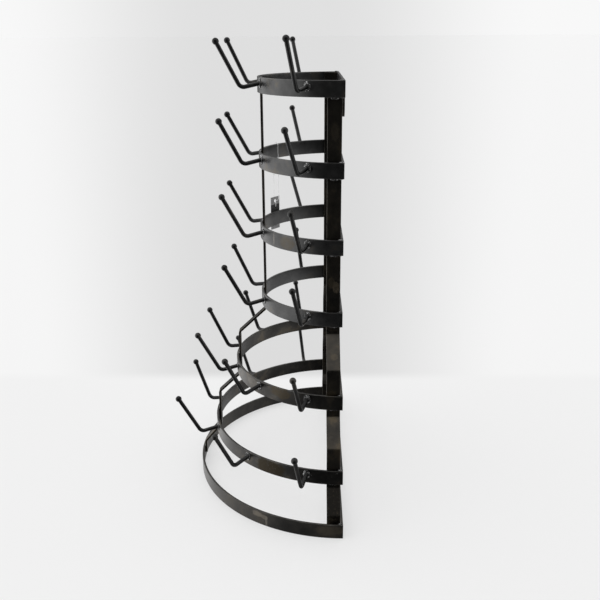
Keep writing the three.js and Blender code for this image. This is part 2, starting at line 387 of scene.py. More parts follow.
class Shape:
    """Ways of making and finishing meshes."""

    @staticmethod
    def linked(name: str, data: Any) -> bpy.types.Object:
        """A new object in the scene for a mesh, curve, light or camera."""
        piece = bpy.data.objects.new(name, data)
        bpy.context.scene.collection.objects.link(piece)
        return piece

    @staticmethod
    def curve(name: str, lines: Iterable[Line]) -> bpy.types.Object:
        """A curve object of straight-stepped lines."""
        data = bpy.data.curves.new(name, "CURVE")
        data.dimensions = "3D"
        for line in lines:
            spline = data.splines.new("POLY")
            spline.points.add(len(line.points) - 1)
            spline.use_cyclic_u = line.closed
            for i, point in enumerate(line.points):
                spline.points[i].co = (*point, 1.0)
                spline.points[i].radius = line.radii[i] if line.radii else 1.0
        return Shape.linked(name, data)

    @staticmethod
    def cloud(name: str, points: Iterable[Vector]) -> bpy.types.Object:
        """A mesh object of loose points."""
        mesh = bpy.data.meshes.new(name)
        mesh.from_pydata([tuple(point) for point in points], [], [])
        return Shape.linked(name, mesh)

    @staticmethod
    def bar_section(width: float, thickness: float, edge: float, margin: float) -> bpy.types.Object:
        """The outline of a flat bar with rounded edges, as a closed curve.

        Args:
            width: Along the curve's normal.
            thickness: Across it.
            edge: Radius of the long edges.
            margin: How far from an edge's round the wear on it fades out.

        Returns:
            A curve object, to be removed when the sweeps are done.
        """
        outline = []
        for quarter in range(4):
            turn = Matrix.Rotation(quarter * math.pi / 2, 2)
            half = (width / 2, thickness / 2) if quarter % 2 == 0 else (thickness / 2, width / 2)
            corner = Vector((half[0] - edge, half[1] - edge))
            fades = [min(margin, size / 3) for size in half]
            outline.append(turn @ (corner + Vector((edge, -fades[1]))))
            outline += [
                turn @ (corner + edge * Vector((math.cos(a), math.sin(a))))
                for a in (0, math.pi / 4, math.pi / 2)
            ]
            outline.append(turn @ (corner + Vector((-fades[0], edge))))
        return Shape.curve("section", [Line([Vector((*p, 0)) for p in outline], closed=True)])

    @staticmethod
    def rounded(corners: Sequence[Vector], radius: float, steps: int) -> list[Vector]:
        """A path whose corners are turned into arcs of a radius."""
        path = [corners[0]]
        for before, corner, after in zip(corners, corners[1:], corners[2:]):
            arriving, leaving = (corner - before).normalized(), (after - corner).normalized()
            turn = arriving.angle(leaving)
            setback = radius * math.tan(turn / 2)
            start = corner - arriving * setback
            inward = (leaving - arriving * arriving.dot(leaving)).normalized()
            for i in range(steps + 1):
                angle = turn * i / steps
                bulge = inward * (1 - math.cos(angle)) + arriving * math.sin(angle)
                path.append(start + bulge * radius)
        return [*path, corners[-1]]

    @staticmethod
    def closed_and_outward(piece: bpy.types.Object) -> bpy.types.Object:
        """Merge a mesh's doubled points and turn its faces outwards."""
        work = bmesh.new()
        work.from_mesh(piece.data)
        bmesh.ops.remove_doubles(work, verts=work.verts, dist=1e-6)
        bmesh.ops.recalc_face_normals(work, faces=work.faces)
        work.to_mesh(piece.data)
        work.free()
        return piece

    @staticmethod
    def softened(piece: bpy.types.Object, width: float) -> bpy.types.Object:
        """Round a piece's remaining square edges, and keep the result as its mesh."""
        bevel = piece.modifiers.new("Rounded ends", "BEVEL")
        bevel.width = width
        bevel.segments = 3
        bevel.limit_method = "ANGLE"
        bevel.angle_limit = math.radians(60)
        evaluated = piece.evaluated_get(bpy.context.evaluated_depsgraph_get())
        mesh = bpy.data.meshes.new_from_object(evaluated)
        piece.modifiers.clear()
        old = piece.data
        mesh.name = old.name
        piece.data = mesh
        bpy.data.meshes.remove(old)
        return piece

    @staticmethod
    def edge_marked(piece: bpy.types.Object) -> bpy.types.Object:
        """Store how sharply the surface turns at each point, as the attribute that wear follows."""
        flat, sharp = math.radians(12), math.radians(40)
        work = bmesh.new()
        work.from_mesh(piece.data)
        turns = [
            max((a.normal.angle(b.normal, 0.0) for a in v.link_faces for b in v.link_faces), default=0.0)
            for v in work.verts
        ]
        work.free()
        marks = piece.data.attributes.new(EDGE, "FLOAT", "POINT")
        for mark, turn in zip(marks.data, turns):
            mark.value = min(max((turn - flat) / (sharp - flat), 0.0), 1.0)
        return piece

    @staticmethod
    def joined(name: str, parts: Sequence[bpy.types.Object]) -> bpy.types.Object:
        """Several mesh objects made into one, with the first one's material."""
        work = bmesh.new()
        for part in parts:
            work.from_mesh(part.data)
        mesh = bpy.data.meshes.new(name)
        work.to_mesh(mesh)
        work.free()
        mesh.materials.append(parts[0].data.materials[0])
        for part in parts:
            bpy.data.objects.remove(part)
        return Shape.linked(name, mesh)


def settle(piece: bpy.types.Object, body: str, slot: str, *nodes: str) -> bpy.types.Object:
    """Fasten a finished piece to its body and hide the frame's nodes that it replaces.

    Args:
        piece: The finished mesh object.
        body: The body it rides on.
        slot: The name of a material slot; not used.
        nodes: The frame's nodes that it replaces.

    Returns:
        The piece.
    """
    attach(piece, body)
    if nodes:
        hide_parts(*nodes)
    log.info("%s: %d faces on %s", piece.name, len(piece.data.polygons), body)
    return piece


# --- Finishes ---


class Slot(Enum):
    """The record's material slots."""

    HOOP = "hoop_finish"
    BASE_HOOP = "base_hoop_finish"
    UPRIGHT = "upright_finish"
    PEG = "peg_finish"
    CARD = "tag_card"
    NYLON = "nylon"


class Surface(Graph):
    """A material's tree, with the textures that the finishes share."""

    def __init__(self, name: str) -> None:
        """Make the material and its shader."""
        self.material = bpy.data.materials.new(name)
        self.material.use_nodes = True
        super().__init__(self.material.node_tree)
        self.tree.nodes.clear()
        self.place = self.add("ShaderNodeTexCoord").outputs["Object"]
        self.shader = self.add("ShaderNodeBsdfPrincipled")
        self.add("ShaderNodeOutputMaterial", None, {"Surface": self.shader.outputs[0]})

    def noise(
        self,
        scale: float,
        detail: float = 2.0,
        roughness: float = 0.5,
        stretch: tuple[float, float, float] = (1, 1, 1),
        shift: float = 0.0,
    ) -> Value:
        """Cloudy noise on the piece's own coordinates, from 0 to 1."""
        feeds = {"Vector": self.place, "Scale": stretch, "Location": (shift, shift, shift)}
        where = self.add("ShaderNodeMapping", None, feeds).outputs[0]
        settings = {"Vector": where, "Scale": scale, "Detail": detail, "Roughness": roughness}
        return self.value("ShaderNodeTexNoise", "Fac", None, settings)

    def mixed(self, share: Value | float, low: Any, high: Any) -> bpy.types.NodeSocket:
        """A colour between two, by a share."""
        feeds = {"Factor": share, 6: low, 7: high}
        return self.add("ShaderNodeMix", {"data_type": "RGBA"}, feeds).outputs[2]

    def attribute(self, name: str) -> Value:
        """A number stored on the mesh."""
        return self.value("ShaderNodeAttribute", "Fac", {"attribute_name": name})

    def spot(self, centre: Vector, reach: tuple[float, float, float], ragged: Value) -> Value:
        """A ragged-edged patch: 1 at its centre, fading to 0 at its reach along each axis."""
        away = self.add("ShaderNodeVectorMath", {"operation": "SUBTRACT"}, {0: self.place, 1: tuple(centre)})
        scaled = self.add("ShaderNodeVectorMath", {"operation": "DIVIDE"}, {0: away.outputs[0], 1: reach})
        length = {"operation": "LENGTH"}
        distance = self.value("ShaderNodeVectorMath", "Value", length, {0: scaled.outputs[0]})
        raggedness = 1.9
        return (distance + (ragged - 0.5) * raggedness).step(1.0, 0.7)

    def dress(self, colour: bpy.types.NodeSocket, roughness: Value) -> None:
        """Feed the shader's colour, and its roughness held between 0 and 1."""
        self.feed(self.shader.inputs["Base Color"], colour)
        self.feed(self.shader.inputs["Roughness"], roughness.clamped())

    def bump(self, height: Value, distance: float, strength: float = 1.0) -> None:
        """Raise the shader's surface by a height."""
        feeds = {"Height": height, "Distance": distance, "Strength": strength}
        self.feed(self.shader.inputs["Normal"], self.add("ShaderNodeBump", None, feeds).outputs[0])


@dataclass(frozen=True)
class Patch:
    """A scuffed or heat-marked place on a steel surface; one on the near upright is painted shade instead."""

    centre: tuple[float, float, float]
    reach: tuple[float, float, float]
    colour: Colour
    strength: float = 0.8


HOOP_PATCHES = (
    Patch((0.103, -0.043, 0.465), (0.006, 0.008, 0.006), grey(0.02)),
    Patch((0.066, -0.089, 0.366), (0.0012, 0.0012, 0.010), grey(0.24, 0.08), 0.7),
    Patch((0.085, -0.071, 0.366), (0.014, 0.014, 0.010), grey(0.09, 0.2), 0.6),
)
LOWER_HOOP_PATCHES = (
    Patch((0.126, -0.082, 0.171), (0.017, 0.017, 0.01), grey(0.055, 0.25)),
    Patch((0.157, -0.095, 0.074), (0.026, 0.026, 0.014), grey(0.03, 0.25), 1.2),
    Patch((0.090, -0.120, 0.168), (0.02, 0.016, 0.009), grey(0.17, 0.1), 0.5),
)
BASE_PATCHES = (
    Patch((0.175, -0.112, 0.0145), (0.009, 0.010, 0.005), grey(0.2, 0.14), 0.6),
    Patch((0.180, -0.104, 0.013), (0.006, 0.008, 0.004), grey(0.17, 0.14), 0.6),
    Patch((0.182, -0.100, 0.007), (0.0014, 0.002, 0.009), grey(0.2, 0.1), 0.6),
    Patch((0.207, -0.017, 0.011), (0.008, 0.02, 0.009), grey(0.1, 0.2), 0.5),
)
UPRIGHT_MARKS_AND_PAINTED_SHADE = (
    Patch((0.162, -0.0145, 0.121), (0.008, 0.006, 0.007), grey(0.2, 0.12), 0.6),
    Patch((0.165, -0.0085, 0.114), (0.008, 0.005, 0.006), grey(0.16, 0.15), 0.6),
    Patch((0.128, -0.010, 0.222), (0.007, 0.006, 0.006), grey(0.14, 0.22), 0.35),
    # Painted shade: the near upright's lowest splay, under the hoops above, made darker.
    Patch((0.192, -0.012, 0.045), (0.03, 0.03, 0.036), grey(0.03, 0.1), 1.2),
    Patch((0.107, -0.0105, 0.509), (0.006, 0.006, 0.013), grey(0.16, 0.18), 0.5),
    Patch((0.107, -0.0075, 0.311), (0.006, 0.005, 0.009), grey(0.3, 0.2), 0.7),
    Patch((0.107, -0.0140, 0.318), (0.006, 0.005, 0.009), grey(0.2, 0.2), 0.6),
)


@dataclass(frozen=True)
class BlackenedSteel:
    """Flat bar or rod blackened by heat and oil, lighter where it is rubbed."""

    name: str
    dark: Colour = grey(0.075)
    dusty: Colour = grey(0.125)
    tint: Colour = grey(0.14, 0.22)
    tint_share: float = 0.35
    worn: Colour = grey(0.26, 0.03)
    wear: float = 0.4
    metallic: float = 0.93
    roughness: float = 0.33
    patches: tuple[Patch, ...] = ()

    def material(self) -> bpy.types.Material:
        """The finish, as a procedural material."""
        surface = Surface(self.name)
        broad = surface.noise(16.0, 3.0, 0.55)
        clouds = surface.noise(55.0, 4.0, 0.62, shift=3.1)
        speckle = surface.noise(520.0, 3.0, 0.7, shift=1.7)
        crumbs = surface.noise(260.0, 4.0, 0.65, shift=4.4)
        scratch = surface.noise(90.0, 2.0, 0.6, stretch=(1.0, 1.0, 22.0), shift=5.3)
        colour = surface.mixed((broad * 0.6 + clouds * 0.4).step(0.36, 0.66), self.dark, self.dusty)
        tinted = (clouds * 0.55 + broad * 0.45).step(0.53, 0.63) * self.tint_share
        colour = surface.mixed(tinted, colour, self.tint)
        flecks = speckle.step(0.63, 0.74) * clouds.step(0.45, 0.6) * 0.5
        colour = surface.mixed(flecks, colour, self.worn)
        # Scuffs and heat marks, and on the uprights one patch of painted shade on the lowest splay.
        for patch in self.patches:
            ragged = clouds * 0.55 + crumbs * 0.45
            where = surface.spot(Vector(patch.centre), patch.reach, ragged) * patch.strength
            colour = surface.mixed(where * (crumbs.step(0.3, 0.55) * 0.55 + 0.45), colour, patch.colour)
        rubbed = surface.attribute(EDGE).step(0.1, 0.75) * (clouds * 0.6 + speckle * 0.5).step(0.38, 0.66)
        rubbed = (rubbed * self.wear + scratch.step(0.68, 0.74) * 0.12).clamped()
        colour = surface.mixed(rubbed, colour, self.worn)
        rough = self.roughness + (clouds - 0.5) * 0.22 + (speckle - 0.5) * 0.14 - rubbed * 0.06
        surface.dress(colour, rough)
        surface.shader.inputs["Metallic"].default_value = self.metallic
        height = speckle * 0.5 + surface.noise(1500.0, 2.0, 0.6) * 0.35 + clouds * 1.6
        surface.bump(height, 0.06 * MM, 0.8)
        return surface.material


@dataclass(frozen=True)
class WeldMetal:
    """Dark, slightly glassy weld with brighter crests."""

    name: str = "weld metal"
    dark: Colour = grey(0.06)
    bright: Colour = grey(0.7)

    def material(self) -> bpy.types.Material:
        """The finish, as a procedural material."""
        surface = Surface(self.name)
        lumps = surface.noise(480.0, 3.0, 0.6)
        speckle = surface.noise(1400.0, 2.0, 0.6, shift=2.2)
        share = (lumps * 0.7 + speckle * 0.3).step(0.47, 0.62)
        surface.dress(surface.mixed(share, self.dark, self.bright), 0.18 + speckle * 0.26)
        surface.shader.inputs["Metallic"].default_value = 0.9
        surface.bump(lumps + speckle * 0.4, 0.15 * MM)
        return surface.material


@dataclass(frozen=True)
class TagCard:
    """Blank card: a black band across a grey ground, with paper fibre."""

    name: str
    middle: float
    half_band: float
    ground: Colour = grey(0.32)
    shaded: Colour = grey(0.32 * 0.8)
    band: Colour = grey(0.012)
    rubbed: Colour = grey(0.45)

    def material(self) -> bpy.types.Material:
        """The finish, as a procedural material."""
        surface = Surface(self.name)
        height = surface.value("ShaderNodeSeparateXYZ", "Z", None, {0: surface.place})
        fibre = surface.noise(900.0, 4.0, 0.7)
        broad = surface.noise(120.0, 2.0, 0.5, shift=1.1)
        edge = 0.4 * MM
        inside = abs(height - self.middle).step(self.half_band + edge, self.half_band - edge)
        ground = surface.mixed((fibre * 0.6 + broad * 0.4).step(0.3, 0.7), self.shaded, self.ground)
        colour = surface.mixed(inside * (0.9 + fibre * 0.1), ground, self.band)
        rim = surface.attribute(EDGE).step(0.2, 0.9) * 0.35
        surface.dress(surface.mixed(rim, colour, self.rubbed), 0.62 + fibre * 0.25 - inside * 0.15)
        surface.bump(fibre + broad * 0.5, 0.03 * MM)
        return surface.material


@dataclass(frozen=True)
class Nylon:
    """Clear-white nylon filament, with faint drawing lines."""

    name: str = "nylon filament"
    clear: Colour = grey(0.88)
    cloudy: Colour = grey(0.96)

    def material(self) -> bpy.types.Material:
        """The finish, as a procedural material."""
        surface = Surface(self.name)
        lines = surface.noise(700.0, 2.0, 0.5, stretch=(1.0, 1.0, 0.08))
        surface.dress(surface.mixed(lines, self.clear, self.cloudy), 0.18 + lines * 0.2)
        surface.shader.inputs["Subsurface Weight"].default_value = 1.0
        surface.shader.inputs["Subsurface Radius"].default_value = (1.0, 1.0, 1.0)
        surface.shader.inputs["Subsurface Scale"].default_value = 3 * MM
        surface.bump(lines, 0.02 * MM)
        return surface.material


# --- The stand ---


@dataclass(frozen=True)
class HoopPlace:
    """Where one hoop stands, read from the frame."""

    number: int
    radius: float
    bottom: float
    top: float
    back: float
    bar: float

    @classmethod
    def read(cls, number: int) -> "HoopPlace":
        """Read a hoop's place from its band's and back bar's boxes."""
        low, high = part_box(f"hoop_{number}_band")
        back_low, back_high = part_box(f"hoop_{number}_back")
        return cls(number, (high.x - low.x) / 2, low.z, high.z, high.y, back_high.y - back_low.y)

    def around(self, degrees: float, radius: float, z: float) -> Vector:
        """A point at an angle from +X round the front, at a distance from the hoop's centre."""
        angle = math.radians(degrees)
        return Vector((radius * math.cos(angle), self.back - radius * math.sin(angle), z))


@dataclass
class Workshop:
    """The recipes and finishes that every sub-assembly uses."""

    bar: Recipe = field(default_factory=swept_bar_recipe)
    rod: Recipe = field(default_factory=rod_recipe)
    weld: Recipe = field(default_factory=weld_recipe)
    spatter: Recipe = field(default_factory=spatter_recipe)
    weld_metal: bpy.types.Material = field(default_factory=lambda: WeldMetal().material())

    def swept(
        self,
        name: str,
        path: list[Vector],
        section: bpy.types.Object,
        across: Vector,
        finish: bpy.types.Material,
    ) -> bpy.types.Object:
        """A flat bar along a path, with its edges rounded and marked.

        Args:
            name: The piece's name.
            path: The bar's middle line.
            section: The bar's outline.
            across: The direction of its width.
            finish: Its material.

        Returns:
            The finished bar.
        """
        source = Shape.curve(name + "_path", [Line(path)])
        bar = self.bar.made(name, source, Section=section, Across=tuple(across), Material=finish)
        Shape.closed_and_outward(bar)
        Shape.softened(bar, 0.35 * MM)
        return Shape.edge_marked(bar)

    def beads(self, name: str, lines: list[Line], radius: float, seed: float) -> bpy.types.Object:
        """Weld beads along lines that are all open or all closed."""
        source = Shape.curve(name + "_path", lines)
        bead = self.weld.made(
            name,
            source,
            Bead_Radius=radius,
            Open=0.0 if lines[0].closed else 1.0,
            Seed=seed,
            Material=self.weld_metal,
        )
        return Shape.closed_and_outward(bead)


@dataclass
class Peg:
    """One bent rod with a ball tip, welded to the outside of a hoop."""

    node: str
    hoop: HoopPlace
    rod: float = 5.5 * MM
    ball: float = 8.6 * MM
    rise: float = 2.5 * MM
    shank: float = 26 * MM
    droop: float = 11.0
    arm: float = 64 * MM
    bend: float = 8 * MM
    sunk: float = 1.2 * MM
    flare: float = 1.45
    flare_length: float = 2.6 * MM
    weld_reach: float = 1 * MM
    degrees: float = field(init=False)
    heading: Vector = field(init=False)
    lift: float = field(init=False)

    def __post_init__(self) -> None:
        """Read the peg's place, heading and lift from its node in the frame."""
        corners = {tuple(round(c, 6) for c in v.co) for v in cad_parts[self.node].data.vertices}
        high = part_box(self.node)[1]
        centre = Vector((0, self.hoop.back))
        near = self.hoop.radius + self.weld_reach
        welded = self.middle([c for c in corners if (Vector(c[:2]) - centre).length < near])
        tip = self.middle([c for c in corners if c[2] > high.z - self.ball])
        self.degrees = math.degrees(math.atan2(self.hoop.back - welded.y, welded.x))
        self.heading = (tip - welded).xy.normalized()
        corner_height = self.weld_height - self.shank * math.sin(math.radians(self.droop))
        climb = high.z - self.ball / 2 - corner_height
        self.lift = math.degrees(math.asin(min(climb / self.arm, 1.0)))

    @staticmethod
    def middle(corners: Sequence[tuple[float, float, float]]) -> Vector:
        """The middle of some corners."""
        return sum((Vector(c) for c in corners), Vector((0, 0, 0))) / len(corners)

    @property
    def weld_height(self) -> float:
        """The height of the rod's middle where it meets the band."""
        return (self.hoop.bottom + self.hoop.top) / 2 + self.rise

    def on_radius(self, out: float, up: float) -> Vector:
        """A point so far out of the band and above the weld, in the peg's own plane."""
        weld = self.hoop.around(self.degrees, self.hoop.radius, self.weld_height)
        return weld + Vector((*(self.heading * out), up))

    def line(self) -> Line:
        """The rod's middle line with its thickness: flared at the weld, and swelling into the ball."""
        droop, lift = math.radians(self.droop), math.radians(self.lift)
        corner = Vector((self.shank * math.cos(droop), -self.shank * math.sin(droop)))
        reach = Vector((math.cos(lift), math.sin(lift)))
        base = -corner.normalized() * self.sunk
        tip = corner + reach * self.arm
        steps = 10
        path = [Vector((*p, 0)) for p in (base, corner, tip)]
        bent = Shape.rounded(path, self.bend, steps)[1:-1]
        along = corner.normalized() * self.flare_length
        flared = [
            (along * t, self.rod / 2 * (1 + (self.flare - 1) * (1 - t) ** 2))
            for t in (0.0, 0.25, 0.5, 0.75, 1.0)
        ]
        points = [(base, self.rod / 2 * self.flare), *flared]
        points += [(Vector(p[:2]), self.rod / 2) for p in bent]
        neck = math.asin(self.rod / self.ball)
        rings, neck_gap = 12, 0.12
        points.append((tip - reach * self.ball / 2 * (math.cos(neck) + neck_gap), self.rod / 2))
        for i in range(rings + 1):
            angle = neck + (math.pi - neck) * i / rings
            swell = max(self.ball / 2 * math.sin(angle), 0.02 * MM)
            points.append((tip - reach * self.ball / 2 * math.cos(angle), swell))
        return Line([self.on_radius(*p) for p, _ in points], [r for _, r in points])

    def collar(self, width: float, height: float, steps: int = 32) -> Line:
        """A ring on the band that a weld bead follows, so far to each side and above and below."""
        ring = []
        for i in range(steps):
            angle = 2 * math.pi * i / steps
            turned = self.degrees + math.degrees(width * math.cos(angle) / self.hoop.radius)
            up = self.weld_height + height * math.sin(angle)
            ring.append(self.hoop.around(turned, self.hoop.radius + 0.2 * MM, up))
        return Line(ring, closed=True)

    def build(self, shop: Workshop, finish: bpy.types.Material) -> bpy.types.Object:
        """Make the peg and fasten it to the stand."""
        source = Shape.curve(self.node + "_path", [self.line()])
        rod = Shape.closed_and_outward(shop.rod.made(self.node + "_rod", source, Sides=20, Material=finish))
        return settle(rod, STAND, Slot.PEG.value, self.node)


@dataclass
class Hoop:
    """One D-shaped hoop: a half-round band, its straight back bar, its pegs and its welds."""

    place: HoopPlace
    slot: Slot
    finish: bpy.types.Material
    peg_finish: bpy.types.Material
    edge: float = 0.45 * MM
    edge_fade: float = 1.6 * MM
    stations: int = 120
    bead: float = 1.15 * MM
    ring_bead: float = 1.0 * MM
    outer_ring: tuple[float, float] = (4.0 * MM, 5.4 * MM)
    inner_ring: tuple[float, float] = (3.0 * MM, 3.8 * MM)
    fillet_bead: float = 1.7 * MM
    seam_gap: float = 0.3 * MM
    set_off: float = 0.9 * MM

    @property
    def height(self) -> float:
        """The bar's width, which stands upright."""
        return self.place.top - self.place.bottom

    @property
    def middle(self) -> float:
        """The height of the bar's middle line."""
        return (self.place.top + self.place.bottom) / 2

    def pegs(self) -> list[Peg]:
        """The hoop's pegs, from the right round the front."""
        prefix = f"peg_{self.place.number}_"
        return [Peg(node, self.place) for node in sorted(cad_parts) if node.startswith(prefix)]

    def bars(self, shop: Workshop) -> bpy.types.Object:
        """Make the band and the back bar.

        Returns:
            The band, which the weld spatter is laid on.
        """
        place = self.place
        section = Shape.bar_section(self.height, place.bar, self.edge, self.edge_fade)
        line = [
            place.around(180 * i / self.stations, place.radius - place.bar / 2, self.middle)
            for i in range(self.stations + 1)
        ]
        name = f"hoop_{place.number}_band"
        band = shop.swept(name + "_bar", line, section, UP, self.finish)
        settle(band, STAND, self.slot.value, name)
        reach = place.radius - place.bar
        depth = place.back - place.bar / 2
        ends = [Vector((side * reach, depth, self.middle)) for side in (-1, 1)]
        name = f"hoop_{place.number}_back"
        back = shop.swept(name + "_bar", ends, section, UP, self.finish)
        settle(back, STAND, self.slot.value, name)
        bpy.data.objects.remove(section)
        return band

    def seam_levels(self) -> list[float]:
        """The heights of the band's edges that are welded: the base hoop's lower edge is left flat."""
        place = self.place
        return [place.top, place.bottom] if self.slot is Slot.HOOP else [place.top]

    def corner_beads(self) -> list[Line]:
        """Beads over the seams between the band and the back bar, and down their outsides."""
        place = self.place
        seam_length, end_gap = 6.5 * MM, 1.5 * MM
        lines = []
        for side in (-1, 1):
            seam = side * (place.radius - place.bar)
            front, back = place.back - seam_length, place.back - self.set_off
            for z in self.seam_levels():
                lines.append(Line([Vector((seam, front, z)), Vector((seam, back, z))]))
            inner = seam - side * self.seam_gap
            foot = place.back - place.bar - self.seam_gap
            ends = (place.top - end_gap, place.bottom + end_gap)
            lines.append(Line([Vector((inner, foot, z)) for z in ends]))
        return lines

    def upright_beads(self) -> list[Line]:
        """Beads along the band's lower edge where it crosses the uprights' outer faces."""
        place = self.place
        inside = place.radius - place.bar
        face = math.sqrt(inside**2 - UPRIGHT_FRONT**2) - self.seam_gap
        end_gap = 4 * MM
        front = place.back - UPRIGHT_FRONT + end_gap
        back = front + UPRIGHT_WIDTH - 2 * end_gap
        z = place.bottom - self.set_off
        return [
            Line([Vector((side * (face + self.set_off), y, z)) for y in (front, back)]) for side in (-1, 1)
        ]

    def strip_beads(self) -> list[Line]:
        """Beads above and below the band where it crosses the front strip."""
        place = self.place
        depth = place.back - (place.radius - place.bar - self.seam_gap)
        end_gap = 1 * MM
        half = STRIP_WIDTH / 2 - end_gap
        lower = place.bottom if self.slot is Slot.HOOP else place.bottom + STRIP_END
        levels = [lower, place.top] if place.number > 1 else [lower]
        return [Line([Vector((side * half, depth, z)) for side in (-1, 1)]) for z in levels]

    def welds(self, shop: Workshop, pegs: list[Peg], band: bpy.types.Object) -> None:
        """Make the weld beads, and the spatter that lies on the band around them."""
        number = self.place.number
        open_lines = [*self.corner_beads(), *self.strip_beads()]
        parts = [shop.beads(f"hoop_{number}_seams", open_lines, self.bead, number * 7.0)]
        if self.slot is Slot.HOOP:
            fillets = self.upright_beads()
            parts.append(shop.beads(f"hoop_{number}_fillets", fillets, self.fillet_bead, number * 9.0))
        if pegs:
            rings = [peg.collar(*self.outer_ring) for peg in pegs]
            parts.append(shop.beads(f"hoop_{number}_collars", rings, self.ring_bead, number * 3.0))
            rings = [peg.collar(*self.inner_ring) for peg in pegs]
            parts.append(shop.beads(f"hoop_{number}_roots", rings, self.bead, number * 5.0))
        drops_each = 5
        centres = [peg.on_radius(0, 0) for peg in pegs for _ in range(drops_each)]
        centres += [line.points[0] for line in open_lines]
        cloud = Shape.cloud(f"hoop_{number}_drops", centres)
        values = {"Surface": band, "Seed": number, "Material": shop.weld_metal}
        parts.append(Shape.closed_and_outward(shop.spatter.made(f"hoop_{number}_spatter", cloud, **values)))
        settle(Shape.joined(f"hoop_{number}_welds", parts), STAND, self.slot.value)

    def build(self, shop: Workshop) -> None:
        """Make the whole hoop."""
        band = self.bars(shop)
        pegs = self.pegs()
        for peg in pegs:
            peg.build(shop, self.peg_finish)
        self.welds(shop, pegs, band)


@dataclass
class SplayedStrip:
    """A strip that follows the hoops down: upright at each one, splayed outwards between the lower ones."""

    node: str
    hoops: list[HoopPlace]
    width: float
    outward: Vector
    sideways: Vector
    offset: float
    set_back: float
    clearance: float
    thickness: float = 3 * MM
    edge: float = 0.45 * MM
    edge_fade: float = 1.4 * MM
    bend: float = 5 * MM
    bend_steps: int = 7
    top_inset: float = 1 * MM
    end: float = 1 * MM
    narrow: int = 3
    starts_below: tuple[float, ...] = (11 * MM, 11 * MM, 6 * MM)
    ends_above: tuple[float, ...] = (34 * MM, 29 * MM, 10 * MM)

    def reach(self, hoop: HoopPlace) -> float:
        """The outer face's distance from the centre plane at a hoop."""
        inside = hoop.radius - hoop.bar
        return math.sqrt(inside**2 - self.set_back**2) - self.clearance

    def outer_face(self) -> list[Vector]:
        """The outer face's corners in its own plane, as reach and height, from the top down."""
        corners = [Vector((self.reach(self.hoops[0]), self.hoops[0].top - self.top_inset))]
        for i, (below, above) in enumerate(zip(self.starts_below, self.ends_above)):
            upper, lower = self.hoops[self.narrow + i], self.hoops[self.narrow + i + 1]
            corners.append(Vector((self.reach(upper), upper.bottom - below)))
            corners.append(Vector((self.reach(lower), lower.top + above)))
        last = self.hoops[-1]
        return [*corners, Vector((self.reach(last), last.bottom + self.end))]

    def middle_line(self) -> list[Vector]:
        """The strip's middle line, half its thickness in from the outer face."""
        outer = self.outer_face()
        middle = []
        for i, point in enumerate(outer):
            before = outer[max(i - 1, 0)]
            after = outer[min(i + 1, len(outer) - 1)]
            ways = [(b - a).normalized() for a, b in ((before, point), (point, after)) if a != b]
            normals = [Vector((way.y, -way.x)) for way in ways]
            mitre = sum(normals, Vector((0, 0))).normalized()
            middle.append(point + mitre * (self.thickness / 2 / mitre.dot(normals[0])))
        return middle

    def build(self, shop: Workshop, finish: bpy.types.Material) -> bpy.types.Object:
        """Make the strip and fasten it to the stand."""
        section = Shape.bar_section(self.width, self.thickness, self.edge, self.edge_fade)
        shift = self.sideways * self.offset
        plane = [self.outward * p.x + shift + Vector((0, 0, p.y)) for p in self.middle_line()]
        plane = [p + Vector((0, self.hoops[0].back, 0)) for p in plane]
        path = Shape.rounded(plane, self.bend, self.bend_steps)
        strip = shop.swept(self.node + "_bar", path, section, self.sideways, finish)
        bpy.data.objects.remove(section)
        return settle(strip, STAND, Slot.UPRIGHT.value, self.node)


@dataclass
class HangerTab:
    """A wall-hanging tab: a small plate with a round lower end and a screw hole."""

    node: str
    hole: float = 7 * MM
    hole_drop: float = 13 * MM
    corner: float = 0.3 * MM
    bead: float = 1.2 * MM
    bead_share: float = 0.7

    def build(self, shop: Workshop, finish: bpy.types.Material) -> bpy.types.Object:
        """Make the tab, its bead along the bar above, and fasten both to the stand."""
        low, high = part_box(self.node)
        half = (high.x - low.x) / 2
        middle = (low.x + high.x) / 2
        steps = 28
        turns = [math.pi * i / steps for i in range(steps + 1)]
        rim = [(half, high.z), (-half, high.z)]
        rim += [(-half * math.cos(t), low.z + half - half * math.sin(t)) for t in turns]
        centre, bore = high.z - self.hole_drop, self.hole / 2
        hole = [(bore * math.cos(2 * t), centre + bore * math.sin(2 * t)) for t in turns[:-1]]
        plate = self.plate(rim, hole, middle, low.y, high.y)
        plate.data.materials.append(finish)
        Shape.softened(plate, self.corner)
        Shape.edge_marked(plate)
        depth, bead_reach = (low.y + high.y) / 2, half * self.bead_share
        bead_ends = [Vector((middle + side * bead_reach, depth, high.z)) for side in (-1, 1)]
        bead = shop.beads(self.node + "_bead", [Line(bead_ends)], self.bead, middle * 100)
        settle(bead, STAND, Slot.UPRIGHT.value)
        return settle(plate, STAND, Slot.UPRIGHT.value, self.node)

    def plate(
        self,
        rim: list[tuple[float, float]],
        hole: list[tuple[float, float]],
        middle: float,
        front: float,
        back: float,
    ) -> bpy.types.Object:
        """A flat plate with one hole, as a closed mesh between two depths."""
        work = bmesh.new()
        edges = []
        for ring in (rim, hole):
            verts = [work.verts.new((middle + x, front, z)) for x, z in ring]
            edges += [work.edges.new((a, b)) for a, b in zip(verts, verts[1:] + verts[:1])]
        face = bmesh.ops.triangle_fill(work, edges=edges, use_beauty=True)
        faces = [g for g in face["geom"] if isinstance(g, bmesh.types.BMFace)]
        grown = bmesh.ops.extrude_face_region(work, geom=faces)
        moved = [g for g in grown["geom"] if isinstance(g, bmesh.types.BMVert)]
        bmesh.ops.translate(work, verts=moved, vec=(0, back - front, 0))
        bmesh.ops.recalc_face_normals(work, faces=work.faces)
        mesh = bpy.data.meshes.new(self.node + "_plate")
        work.to_mesh(mesh)
        work.free()
        return Shape.linked(self.node + "_plate", mesh)


